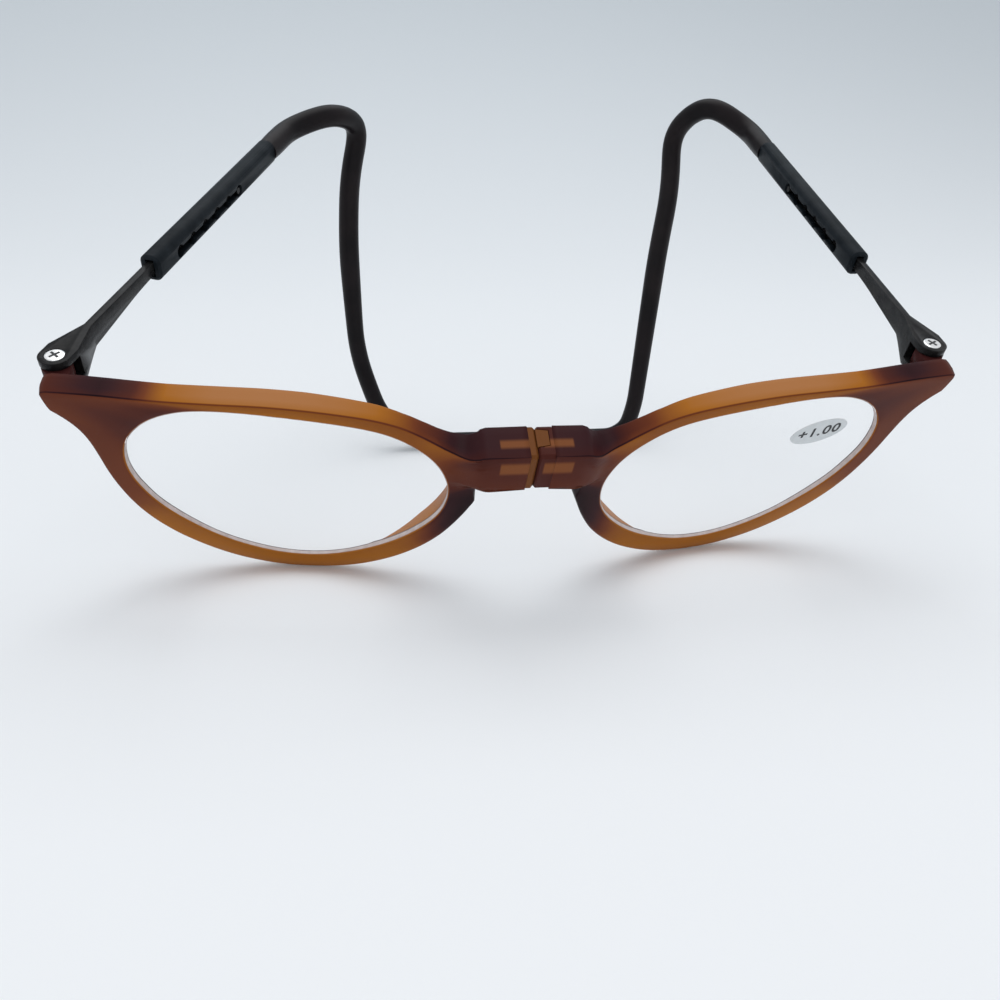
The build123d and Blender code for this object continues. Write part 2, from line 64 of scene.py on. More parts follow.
# %% Places on the front and on the arm
bridge_at = Vector((0, -56.856, 31.330)) * mm
front_lean = radians(34.3)
arms_climb = radians(21.5)
wrap = radians(11.0)
arm_turns = {"right": radians(0.5), "left": radians(19.4)}
hinge_place = (71.610, 7.125, 7.0)


def front_axes(turn):
    """Directions across, up and back in the plane of one half of the front."""
    across = Vector((cos(turn), sin(turn), 0))
    level_back = Vector((-sin(turn), cos(turn), 0))
    up = Vector((0, 0, 1)) * cos(front_lean) - level_back * sin(front_lean)
    return across, up, up.cross(across)


def on_front(out, up, back, turn=wrap):
    """Point of the right half of the front, from millimetres out, up and back."""
    across, upward, backward = front_axes(turn)
    return bridge_at + (across * out + upward * up + backward * back) * mm


hinge_at = on_front(*hinge_place)
screw_axis = Vector((0, -sin(arms_climb), cos(arms_climb)))
arm_level = Vector((0, cos(arms_climb), sin(arms_climb)))


def arm_axes(turn):
    """Directions outward and back along a right arm with this turn."""
    outward = Vector((1, 0, 0)) * cos(turn) + arm_level * sin(turn)
    return outward, screw_axis.cross(outward)


def on_arm(side, out, far, up):
    """Point of one arm, drawn as a right one, from millimetres outward, along it and up."""
    outward, back = arm_axes(arm_turns[side])
    return hinge_at + (outward * out + back * far + screw_axis * up) * mm


print("hinge at", [round(c, 5) for c in hinge_at])

# %% [markdown]
# The camera comes first, because everything else is judged through it. It stands a little above
# the glasses, looking down on them, and the lens is set from the photograph's perspective. Its
# matrix is put together from three directions, which is easier to check than three turns.

# %% Camera
camera_at = Vector((-25.73, -180.92, 76.73)) * mm
tilt_down, turn_right, roll = radians(22.72), radians(9.16), radians(1.38)


def add_object(name, data):
    """An object with this data, linked to the scene."""
    added = bpy.data.objects.new(name, data)
    bpy.context.scene.collection.objects.link(added)
    return added


camera_data = bpy.data.cameras.new("camera")
camera_data.sensor_width = 36
camera_data.lens = 32.55
camera_data.clip_start = 0.01
camera = add_object("camera", camera_data)
looking = Vector(
    (sin(turn_right) * cos(tilt_down), cos(turn_right) * cos(tilt_down), -sin(tilt_down))
)
level_right = looking.cross(Vector((0, 0, 1))).normalized()
level_up = level_right.cross(looking)
camera_right = level_right * cos(roll) + level_up * sin(roll)
camera_up = level_up * cos(roll) - level_right * sin(roll)
camera_axes = Matrix((camera_right, camera_up, -looking)).transposed().to_4x4()
camera.matrix_world = Matrix.Translation(camera_at) @ camera_axes
bpy.context.scene.camera = camera
print("camera lens", camera_data.lens)

# %% [markdown]
# Every finish is a Principled shader. Real plastic and metal are never one flat colour, so most
# finishes drift between two close tones and carry a fine grain. Both are noise on Object
# coordinates, which stay with the piece when it moves.

# %% Shader helpers


def new_finish(name, colour, roughness, metallic=0.0, specular=0.5):
    """A Principled material with its plain values set on the sockets."""
    finish = bpy.data.materials.new(name)
    finish.use_nodes = True
    shader = finish.node_tree.nodes["Principled BSDF"]
    shader.inputs["Base Color"].default_value = (*colour, 1)
    shader.inputs["Roughness"].default_value = roughness
    shader.inputs["Metallic"].default_value = metallic
    shader.inputs["Specular IOR Level"].default_value = specular
    return finish, shader


def add_node(finish, kind, **values):
    """A node of this kind with its properties set."""
    node = finish.node_tree.nodes.new(kind)
    for name, value in values.items():
        setattr(node, name, value)
    return node


def join(finish, source, target):
    """Link one socket to another."""
    finish.node_tree.links.new(source, target)


def math_node(finish, operation, *values):
    """One Math node; its inputs are sockets or numbers."""
    node = add_node(finish, "ShaderNodeMath", operation=operation)
    for socket, value in zip(node.inputs, values):
        if isinstance(value, (int, float)):
            socket.default_value = value
        else:
            join(finish, value, socket)
    return node.outputs["Value"]


def colour_ramp(finish, value, tones):
    """Colour read from a value, through pairs of a position and a colour."""
    ramp = add_node(finish, "ShaderNodeValToRGB")
    stops = ramp.color_ramp.elements
    while len(stops) < len(tones):
        stops.new(0.5)
    for stop, (position, colour) in zip(stops, tones):
        stop.position = position
        stop.color = (*colour, 1)
    join(finish, value, ramp.inputs["Fac"])
    return ramp.outputs["Color"]


def object_noise(finish, scale, detail):
    """Noise that stays with the piece."""
    coordinates = add_node(finish, "ShaderNodeTexCoord")
    noise = add_node(finish, "ShaderNodeTexNoise")
    noise.inputs["Scale"].default_value = scale
    noise.inputs["Detail"].default_value = detail
    join(finish, coordinates.outputs["Object"], noise.inputs["Vector"])
    return noise.outputs["Fac"]


def vary(finish, shader, scale, dark, light, detail=3):
    """Colour that drifts between two close tones."""
    noise = object_noise(finish, scale, detail)
    drift = colour_ramp(finish, noise, [(0.35, dark), (0.65, light)])
    join(finish, drift, shader.inputs["Base Color"])


def add_grain(finish, shader, scale, height, strength=0.2, detail=2):
    """Fine relief, which breaks up the highlights as on a moulded face."""
    bump = add_node(finish, "ShaderNodeBump")
    bump.inputs["Distance"].default_value = height
    bump.inputs["Strength"].default_value = strength
    join(finish, object_noise(finish, scale, detail), bump.inputs["Height"])
    join(finish, bump.outputs["Normal"], shader.inputs["Normal"])


print("helpers ready")

# %% [markdown]
# The front is frosted, see-through brown plastic. Where it is thin, light comes through and it
# glows amber; in the bridge and at the end pieces it is thick and turns maroon. True transmission
# would be slow and noisy in so thin a rim, so each point of the front carries a tone instead, and a
# colour ramp turns the tone into a colour. The tone is the plastic's own brown with painted light
# and shade: the amber glow of thin plastic and the light on top faces are painted light, and the
# dark crisp edges are painted shade.

# %% Frosted brown plastic
frosted_brown, brown_shader = new_finish("frosted_brown", (0.27, 0.10, 0.04), 0.38, specular=0.05)
tone = add_node(frosted_brown, "ShaderNodeAttribute", attribute_name="tone")
tones = [
    (0.00, (0.430, 0.195, 0.085)),
    (0.20, (0.370, 0.128, 0.014)),
    (0.45, (0.165, 0.042, 0.014)),
    (0.60, (0.085, 0.020, 0.012)),
    (0.80, (0.035, 0.010, 0.012)),
    (1.00, (0.012, 0.004, 0.006)),
]
# The ramp paints light and shade into the plastic's own brown.
brown_and_painted_light = colour_ramp(frosted_brown, tone.outputs["Fac"], tones)
add_grain(frosted_brown, brown_shader, 2600, 0.02 * mm)
print("tones of the front:", len(tones))

# %% [markdown]
# The two magnets sit inside the bridge and show through the frosted plastic as lighter bars, one
# pair on its front and one on its top. They are masks in the material: a bar is where a point lies
# between two distances from the middle of the bridge, both along it and across it.

# %% Magnets seen through the bridge
magnet_ends = (1.0 * mm, 5.6 * mm)
bar_on_front = (-4.2 * mm, -1.6 * mm)
bar_on_top = (1.2 * mm, 2.6 * mm)
bar_colour, bar_strength = (0.290, 0.100, 0.030), 0.6
brown_point = add_node(frosted_brown, "ShaderNodeTexCoord").outputs["Object"]


def band_mask(finish, value, band, soft):
    """One between the two values of a band and zero outside, with soft ends."""
    low, high = band
    ends = []
    for start, end in ((low - soft, low + soft), (high + soft, high - soft)):
        node = add_node(finish, "ShaderNodeMapRange", interpolation_type="SMOOTHSTEP")
        join(finish, value, node.inputs["Value"])
        node.inputs["From Min"].default_value = start
        node.inputs["From Max"].default_value = end
        ends.append(node.outputs["Result"])
    return math_node(finish, "MULTIPLY", *ends)


def from_bridge(finish, direction):
    """How far a point lies from the middle of the bridge in a direction, in metres."""
    offset = add_node(finish, "ShaderNodeVectorMath", operation="SUBTRACT")
    join(finish, brown_point, offset.inputs[0])
    offset.inputs[1].default_value = bridge_at
    reach = add_node(finish, "ShaderNodeVectorMath", operation="DOT_PRODUCT")
    join(finish, offset.outputs["Vector"], reach.inputs[0])
    reach.inputs[1].default_value = direction
    return reach.outputs["Value"]


bridge_reaches = [from_bridge(frosted_brown, axis) for axis in front_axes(0)]
out_either_way = math_node(frosted_brown, "ABSOLUTE", bridge_reaches[0])
bar_length = band_mask(frosted_brown, out_either_way, magnet_ends, 0.15 * mm)
front_bar = band_mask(frosted_brown, bridge_reaches[1], bar_on_front, 0.5 * mm)
top_bar = band_mask(frosted_brown, bridge_reaches[2], bar_on_top, 0.4 * mm)
either_bar = math_node(frosted_brown, "MAXIMUM", front_bar, top_bar)
bars = math_node(frosted_brown, "MULTIPLY", bar_length, either_bar)
bar_share = math_node(frosted_brown, "MULTIPLY", bars, bar_strength)
bar_mix = add_node(frosted_brown, "ShaderNodeMix", data_type="RGBA")
join(frosted_brown, bar_share, bar_mix.inputs["Factor"])
join(frosted_brown, brown_and_painted_light, bar_mix.inputs["A"])
bar_mix.inputs["B"].default_value = (*bar_colour, 1)
join(frosted_brown, bar_mix.outputs["Result"], brown_shader.inputs["Base Color"])
print("nodes of the frosted brown:", len(frosted_brown.node_tree.nodes))

# %% [markdown]
# The other pieces are a clear lens with a ground edge, plated and turned metal, satin plastic for
# the sleeves, a smoother one for the neck loop, and a printed film. A lens could be glass with
# refraction, but so thin a lens hardly shifts what lies behind it. An almost clear shell with a
# highlight looks the same and renders cleanly, so that is used here.

# %% Lens and cap finishes
amber_cap, cap_shader = new_finish("amber_cap", (0.150, 0.052, 0.014), 0.3, specular=0.06)
add_grain(amber_cap, cap_shader, 2400, 0.02 * mm)

clear_lens, lens_shader = new_finish("clear_lens", (0.92, 0.95, 0.97), 0.02)
lens_shader.inputs["Alpha"].default_value = 0.035
lens_shader.inputs["IOR"].default_value = 1.5

# Pale ground glass, with painted light caught on the edge.
ground_edge_light, rim_shader = new_finish("ground_lens_edge_and_light", (0.50, 0.42, 0.40), 0.5)
vary(ground_edge_light, rim_shader, 800, (0.46, 0.38, 0.36), (0.56, 0.48, 0.46))

groove_shade, groove_shader = new_finish("groove_line", (0.10, 0.07, 0.07), 0.5)
vary(groove_shade, groove_shader, 800, (0.09, 0.06, 0.06), (0.13, 0.10, 0.10))
print("lens alpha", round(lens_shader.inputs["Alpha"].default_value, 3))

# %% Metal finishes
nickel, nickel_shader = new_finish("nickel", (0.62, 0.56, 0.48), 0.25, 1.0)
vary(nickel, nickel_shader, 900, (0.55, 0.50, 0.43), (0.68, 0.62, 0.54))

gunmetal, gunmetal_shader = new_finish("gunmetal", (0.006, 0.006, 0.007), 0.22, specular=0.09)
vary(gunmetal, gunmetal_shader, 500, (0.008, 0.008, 0.009), (0.018, 0.018, 0.018))
add_grain(gunmetal, gunmetal_shader, 900, 0.03 * mm)

bright_steel, steel_shader = new_finish("bright_steel", (0.72, 0.72, 0.71), 0.22, 1.0)
vary(bright_steel, steel_shader, 1500, (0.80, 0.80, 0.80), (0.93, 0.93, 0.92))

turned_brass, brass_shader = new_finish("turned_brass", (0.60, 0.44, 0.20), 0.3, 1.0)
vary(turned_brass, brass_shader, 1500, (0.54, 0.39, 0.17), (0.66, 0.50, 0.24))
print("finishes so far:", len(bpy.data.materials))

# %% Sleeve, loop and print finishes
satin_black, black_shader = new_finish("satin_black", (0.010, 0.013, 0.016), 0.40, specular=0.06)
vary(satin_black, black_shader, 300, (0.007, 0.010, 0.013), (0.014, 0.018, 0.022), detail=4)
add_grain(satin_black, black_shader, 2200, 0.03 * mm, strength=0.35, detail=3)

smooth_band, band_shader = new_finish("smooth_band", (0.006, 0.004, 0.005), 0.38, specular=0.14)
vary(smooth_band, band_shader, 120, (0.004, 0.003, 0.004), (0.010, 0.007, 0.008))
add_grain(smooth_band, band_shader, 1600, 0.03 * mm, detail=3)

grey_film, film_shader = new_finish("grey_film", (0.62, 0.65, 0.66), 0.45)
vary(grey_film, film_shader, 500, (0.60, 0.63, 0.64), (0.65, 0.68, 0.69))

# The same dark ink prints the power figure and paints the shade in the cross recesses of the screws.
ink_and_recess_shade, _ = new_finish("ink_and_recess_shade", (0.012, 0.012, 0.014), 0.5)
print("finishes:", len(bpy.data.materials))

# %% [markdown]
# Each piece of the model is named for its side and its kind, as in left_arm, so one table from kind
# to finish dresses them all. The sticker is the one piece that has no side.

# %% Give each piece of the model its finish


def wear(piece, finish):
    """The piece shows this finish and nothing else."""
    piece.data.materials.clear()
    piece.data.materials.append(finish)


finish_of = {
    "front": frosted_brown,
    "lens": clear_lens,
    "magnet": nickel,
    "magnet_cap": amber_cap,
    "arm": gunmetal,
    "hinge_screw": bright_steel,
    "hinge_bushing": turned_brass,
    "detent_stud": gunmetal,
    "sleeve": satin_black,
    "headband": smooth_band,
}
for name, node in nodes.items():
    kind = name.split("_", 1)[1]
    wear(node, grey_film if name == "power_label" else finish_of[kind])
print("finished", len(nodes), "pieces")

# %% [markdown]
# A moulded or plated edge is never sharp: it catches a thin line of light. The sleeves and arms are
# already right in the model apart from that, so each is a copy of the model's own mesh with its
# loose triangles joined, its flat faces made whole and its sharp edges given a small Bevel.

# %% Rounded copies
merge_within = 0.002 * mm
flat_within = radians(1.5)
sharp_from = radians(32)


def rounded_copy(name, width, body, shape=None):
    """A copy of a piece of the model with soft edges, which is shown in its place."""
    mesh = nodes[name].data.copy()
    work = bmesh.new()
    work.from_mesh(mesh)
    bmesh.ops.remove_doubles(work, verts=work.verts, dist=merge_within)
    bmesh.ops.dissolve_limit(
        work, angle_limit=flat_within, verts=work.verts, edges=work.edges
    )
    if shape:
        for vert in work.verts:
            vert.co = shape(vert.co)
    for face in work.faces:
        face.smooth = True
    work.to_mesh(mesh)
    work.free()
    piece = add_object(f"{name}_moulded", mesh)
    edges = piece.modifiers.new("soft_edges", "BEVEL")
    edges.width = width * mm
    edges.segments = 2
    edges.limit_method = "ANGLE"
    edges.angle_limit = sharp_from
    edges.harden_normals = True
    edges.use_clamp_overlap = True
    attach(piece, body)
    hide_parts(name)
    print(piece.name, len(mesh.polygons), "faces")
    return piece


# %% [markdown]
# The blade of each arm is full height at the fork of its hinge and a little slimmer where it runs
# into the sleeve. Moving the points of the copy is enough, and keeps the fork as it is.

# %% Sleeves and arms
sleeve_edge, arm_edge = 0.18, 0.10
slim_start, slim_run = 2.6, 7.0
fork_middle, middle_drop = 2.8, 1.5
less_tall, less_thick = 0.30, 0.1


def slimmer(side):
    """The move that slims the blade of one arm between its fork and the sleeve."""
    sign = 1 if side == "right" else -1
    outward, back = arm_axes(arm_turns[side])

    def move(point):
        spot = Vector((sign * point.x, point.y, point.z)) - hinge_at
        out, far, up = (spot.dot(axis) / mm for axis in (outward, back, screw_axis))
        share = min(max((far - slim_start) / slim_run, 0.0), 1.0)
        middle = fork_middle - middle_drop * share
        up = middle + (up - middle) * (1 - less_tall * share)
        placed = on_arm(side, out * (1 - less_thick * share), far, up)
        return Vector((sign * placed.x, placed.y, placed.z))

    return move


for side in ("left", "right"):
    rounded_copy(f"{side}_sleeve", sleeve_edge, f"{side}_neckband")
    rounded_copy(f"{side}_arm", arm_edge, f"{side}_temple", shape=slimmer(side))

# %% [markdown]
# Each half of the front is one moulding whose section changes all the way round the lens: a rounded
# rim, a deep bridge on the nose side, a pad on the back below it and a flared end piece. Boxes and
# tubes joined together would show seams where they meet, so the moulding is one mesh of rings. The
# table walks once round the outside of the right half and says what it is like at each place.

# %% The outside of the right half
lens_centre = (39.4, -13.0)
half_lens = (25.25, 20.425)
lens_corners = [
    (0.943, 0.594), (0.717, 0.893), (0.377, 1.024), (-0.441, 0.888), (-0.735, 0.767),
    (-0.956, 0.472), (-1.020, 0.091), (-0.909, -0.325), (-0.576, -0.742), (-0.131, -1.001),
    (0.252, -0.998), (0.624, -0.761), (0.920, -0.310), (1.023, 0.173),
]
# Where the wall is, in millimetres out and up; the turn round the lens in degrees; how deep the
# moulding is at the wall and at the lens; how much it flares; the radius of its front edge; and the
# tones by the lens, on the front and on the wall, which give the brown with painted light and shade;
# the low wall tones along the top are painted light falling on the top face from above. No number
# for out means the parting face.
Place = namedtuple(
    "Place", "out up turn depth lens_depth flare edge lens_tone front_tone wall_tone"
)
walk = [
    (71.20, 6.30, 30.0, 3.9, 1.3, 1.0, 0.30, 0.60, 0.50, 0.60),
    (71.32, 8.00, 32.5, 3.9, 1.4, 1.0, 0.28, 0.62, 0.52, 0.60),
    (71.25, 9.70, 35.5, 3.9, 1.5, 1.0, 0.25, 0.65, 0.54, 0.60),
    (70.95, 10.35, 37.5, 3.9, 1.6, 0.9, 0.25, 0.68, 0.54, 0.60),
    (70.20, 10.55, 39.5, 3.9, 1.7, 0.7, 0.25, 0.70, 0.54, 0.62),
    (67.00, 10.40, 45.0, 3.8, 2.0, 0.2, 0.28, 0.64, 0.54, 0.74),
    (63.00, 10.10, 51.0, 3.7, 2.2, 0.0, 0.30, 0.68, 0.52, 0.88),
    (58.50, 9.60, 58.5, 3.7, 2.2, 0.0, 0.30, 0.58, 0.46, 0.66),
    (53.70, 9.15, 68.0, 3.7, 2.2, 0.0, 0.32, 0.36, 0.34, 0.18),
    (47.00, 8.85, 80.5, 3.8, 2.2, 0.0, 0.35, 0.22, 0.30, 0.08),
    (40.00, 8.65, 92.0, 3.8, 2.2, 0.0, 0.35, 0.22, 0.30, 0.07),
    (33.90, 8.10, 103.0, 3.8, 2.2, 0.0, 0.35, 0.22, 0.30, 0.08),
    (28.20, 7.25, 114.5, 3.6, 2.2, 0.0, 0.35, 0.24, 0.32, 0.12),
    (23.80, 6.30, 125.5, 3.4, 2.2, 0.0, 0.35, 0.28, 0.34, 0.18),
    (20.20, 4.90, 136.0, 3.1, 2.3, 0.0, 0.35, 0.32, 0.36, 0.34),
    (17.60, 3.20, 144.0, 3.15, 2.5, 0.0, 0.33, 0.35, 0.36, 0.52),
    (15.30, 1.30, 150.5, 3.4, 2.8, 0.0, 0.35, 0.35, 0.30, 0.60),
    (13.40, -0.30, 154.5, 3.9, 3.0, 0.0, 0.30, 0.38, 0.35, 0.80),
    (11.80, -1.10, 157.0, 4.6, 3.1, 0.0, 0.28, 0.42, 0.40, 0.88),
    (10.30, -1.20, 159.0, 5.2, 3.2, 0.0, 0.28, 0.45, 0.50, 0.85),
    (8.80, -0.60, 161.0, 5.7, 3.3, 0.0, 0.28, 0.48, 0.60, 0.80),
    (7.50, -0.08, 163.0, 6.1, 3.4, 0.0, 0.25, 0.50, 0.68, 0.80),
    (None, 0.00, 165.0, 6.1, 3.5, 0.0, 0.06, 0.52, 0.66, 0.78),
    (None, -8.60, 172.0, 6.1, 3.8, 0.0, 0.06, 0.60, 0.56, 0.60),
    (7.20, -8.60, 174.0, 6.0, 4.0, 0.0, 0.25, 0.65, 0.52, 0.60),
    (8.60, -9.00, 176.0, 5.0, 3.8, 0.0, 0.28, 0.70, 0.62, 0.80),
    (9.80, -10.20, 178.0, 3.8, 3.6, 0.0, 0.28, 0.80, 0.85, 0.95),
    (10.10, -12.40, 180.5, 3.5, 3.6, 0.0, 0.28, 0.85, 0.95, 0.98),
    (10.05, -13.80, 183.0, 3.6, 3.8, 0.0, 0.30, 0.85, 0.97, 1.00),
    (10.90, -15.70, 186.0, 4.0, 4.0, 0.0, 0.35, 0.82, 0.97, 1.00),
    (12.20, -18.40, 191.5, 4.4, 4.2, 0.0, 0.45, 0.75, 0.95, 1.00),
    (14.10, -21.80, 198.5, 4.6, 4.0, 0.0, 0.55, 0.60, 0.85, 0.95),
    (16.50, -25.40, 207.5, 4.5, 3.5, 0.0, 0.60, 0.40, 0.60, 0.75),
    (19.80, -29.10, 219.0, 4.0, 2.4, 0.0, 0.60, 0.30, 0.35, 0.55),
    (23.60, -32.30, 230.5, 3.3, 1.4, 0.0, 0.60, 0.28, 0.22, 0.40),
    (27.30, -34.60, 240.5, 2.7, 0.9, 0.0, 0.60, 0.28, 0.18, 0.35),
    (31.50, -36.50, 251.0, 2.3, 0.8, 0.0, 0.60, 0.26, 0.15, 0.32),
    (36.00, -37.60, 261.5, 2.2, 0.8, 0.0, 0.60, 0.26, 0.15, 0.30),
    (41.00, -38.00, 273.5, 2.2, 0.8, 0.0, 0.60, 0.26, 0.15, 0.30),
    (46.50, -37.60, 286.0, 2.2, 0.8, 0.0, 0.60, 0.26, 0.15, 0.30),
    (51.60, -36.10, 297.5, 2.2, 0.8, 0.0, 0.60, 0.26, 0.15, 0.30),
    (56.00, -33.80, 308.5, 2.2, 0.8, 0.0, 0.60, 0.27, 0.16, 0.32),
    (60.00, -30.60, 319.5, 2.3, 0.8, 0.0, 0.60, 0.28, 0.18, 0.35),
    (63.30, -26.90, 330.0, 2.4, 0.9, 0.0, 0.60, 0.30, 0.22, 0.38),
    (65.80, -22.60, 340.0, 2.5, 1.0, 0.0, 0.55, 0.32, 0.26, 0.40),
    (67.30, -18.20, 349.5, 2.7, 1.0, 0.0, 0.50, 0.40, 0.42, 0.50),
    (68.10, -13.50, 359.0, 2.8, 1.1, 0.0, 0.45, 0.46, 0.48, 0.55),
    (68.35, -9.00, 368.0, 2.9, 1.1, 0.0, 0.40, 0.48, 0.50, 0.56),
    (68.25, -4.80, 376.0, 3.0, 1.1, 0.0, 0.35, 0.50, 0.52, 0.58),
    (68.25, -1.30, 381.5, 3.2, 1.2, 0.2, 0.32, 0.52, 0.53, 0.60),
    (68.60, 1.40, 385.0, 3.5, 1.2, 0.6, 0.30, 0.54, 0.54, 0.65),
    (69.40, 3.60, 387.5, 3.8, 1.3, 0.9, 0.30, 0.56, 0.54, 0.70),
    (70.50, 5.40, 389.0, 3.9, 1.3, 1.0, 0.30, 0.59, 0.52, 0.68),
]
outside = [Place(*row) for row in walk]
print("places round the outside:", len(outside))

# %% [markdown]
# The lens has fourteen corners that are rounded into each other. The moulding needs the lens line
# at the turn of each of its places, so the rounded outline is kept as turns and reaches from its
# middle, and is read between them.

# %% The lens line
corner_share, corner_steps = 0.47, 8


def round_corner(start, corner, end, steps):
    """Points of a bend from start to end that touches both sides of the corner."""
    points = []
    for step in range(steps + 1):
        share = step / steps
        points.append(
            start * (1 - share) ** 2 + corner * (2 * share * (1 - share)) + end * share**2
        )
    return points


def lens_ring(turns):
    """Point of the lens outline at each of these turns round its middle, in degrees."""
    corners = [Vector((x * half_lens[0], y * half_lens[1])) for x, y in lens_corners]
    befores, afters = corners[-1:] + corners[:-1], corners[1:] + corners[:1]
    outline = []
    for before, corner, after in zip(befores, corners, afters):
        start = corner + (before - corner) * corner_share
        end = corner + (after - corner) * corner_share
        outline += round_corner(start, corner, end, corner_steps)
    polar = sorted((atan2(point.y, point.x) % (2 * pi), point.length) for point in outline)
    (low_turn, low_reach), (high_turn, high_reach) = polar[0], polar[-1]
    polar = [(high_turn - 2 * pi, high_reach), *polar, (low_turn + 2 * pi, low_reach)]
    ring = []
    for degrees in turns:
        turn = radians(degrees) % (2 * pi)
        after = next(k for k, (reached, _) in enumerate(polar) if reached >= turn)
        (turn_0, reach_0), (turn_1, reach_1) = polar[after - 1], polar[after]
        reach = reach_0 + (reach_1 - reach_0) * (turn - turn_0) / max(turn_1 - turn_0, 1e-9)
        ring.append(
            Vector((lens_centre[0] + reach * cos(turn), lens_centre[1] + reach * sin(turn)))
        )
    return ring


print("lens 0 degrees out at", round(lens_ring([0])[0].x, 2))

# %% [markdown]
# Between two places of the table the wall follows a smooth curve that leaves and arrives as the
# neighbouring places say, while the depths and tones change evenly. At the parting face of the
# bridge the wall is straight.

# %% Places between the places
spacing = 0.9


def on_curve(before, start, end, beyond, share):
    """Value on the smooth curve from start to end that heads as its neighbours say."""
    leaving, arriving = (end - before) / 2, (beyond - start) / 2
    return (
        start * (2 * share**3 - 3 * share**2 + 1)
        + leaving * (share**3 - 2 * share**2 + share)
        + end * (3 * share**2 - 2 * share**3)
        + arriving * (share**3 - share**2)
    )


def between(before, here, after, beyond, share, straight):
    """The place at a share of the way from here to after, with its wall on the curve."""
    mixed = Place(*(start + (end - start) * share for start, end in zip(here, after)))
    if straight:
        return mixed
    return mixed._replace(
        out=on_curve(before.out, here.out, after.out, beyond.out, share),
        up=on_curve(before.up, here.up, after.up, beyond.up, share),
    )


def smooth_places(parting_out):
    """The places of the table, closely spaced, for a half that parts this far out."""
    at_parting = [place.out is None for place in outside]
    places = [
        place._replace(out=parting_out) if parting else place
        for place, parting in zip(outside, at_parting)
    ]
    filled = []
    for k, here in enumerate(places):
        before = places[k - 1]
        after, beyond = (places[(k + step) % len(places)] for step in (1, 2))
        straight = at_parting[k] or at_parting[(k + 1) % len(places)]
        if after is places[0]:
            after = after._replace(turn=after.turn + 360)
        length = Vector((after.out - here.out, after.up - here.up)).length
        steps = max(1, round(length / spacing))
        for step in range(steps):
            filled.append(between(before, here, after, beyond, step / steps, straight))
    return filled


parting_at = {"right": 2.6, "left": 1.2}
print("places on the right half:", len(smooth_places(parting_at["right"])))

# %% [markdown]
# The bridge of the real front is straight across, and the rims are swept back, so a point's place
# turns from the one plane into the other on its way out. The turn starts a little nearer the nose
# low on the front, where the pads are.

# %% From the table to the scene
turn_start, turn_run = 7.5, 6.0
low_from, low_run, low_nearer = -8.3, 2.2, 3.5
bridge_ahead = 0.7
flare_reach, flare_depth = 0.55, 4.6


def mould_point(out, up, back):
    """Point of the front, which turns from the plane of the bridge into that of the rim."""
    low = min(max((low_from - up) / low_run, 0.0), 1.0)
    share = min(max((out - turn_start + low_nearer * low) / (turn_run - low), 0.0), 1.0)
    share = share * share * (3 - 2 * share)
    return on_front(out, up, back - bridge_ahead, 0.0).lerp(on_front(out, up, back), share)


def swell(place, back):
    """How far a flared end piece stands out at this depth."""
    return place.flare * flare_reach * sin(pi * min(max(back, 0.0) / flare_depth, 1.0))


print("rim begins at", [round(c, 5) for c in mould_point(outside[0].out, outside[0].up, 0)])

# %% [markdown]
# A section is a walk round the moulding at one place: from inside the groove of the lens, round the
# lip, over the front, round the edge, down the wall and along the back to the lens again. Each
# point has its depth behind the front and its tone, so painted light and shade follow the shape.
# Where the edge is crisp, painted shade makes it darker.

# %% The section of the moulding
groove_lap, groove_depth = 0.12, 0.22
lip_turn, lip_width = 0.07, 0.25
face_shares = (0.12, 0.28, 0.46, 0.64, 0.82)
crisp_edge, crisp_edge_painted_shade = 0.45, 0.15
wall_shares, wall_turn = (0.35, 0.7), 0.12
back_round, back_lip, back_lip_turn = 0.4, 0.3, 0.08
back_shares = (0.75, 0.5, 0.25)
groove_paler, lip_mix, face_haste, edge_mix = 0.35, 0.1, 1.3, 0.7
flare_rounder = 1.5


def mix(first, second, share):
    """Value at a share of the way from the first to the second."""
    return first + (second - first) * share


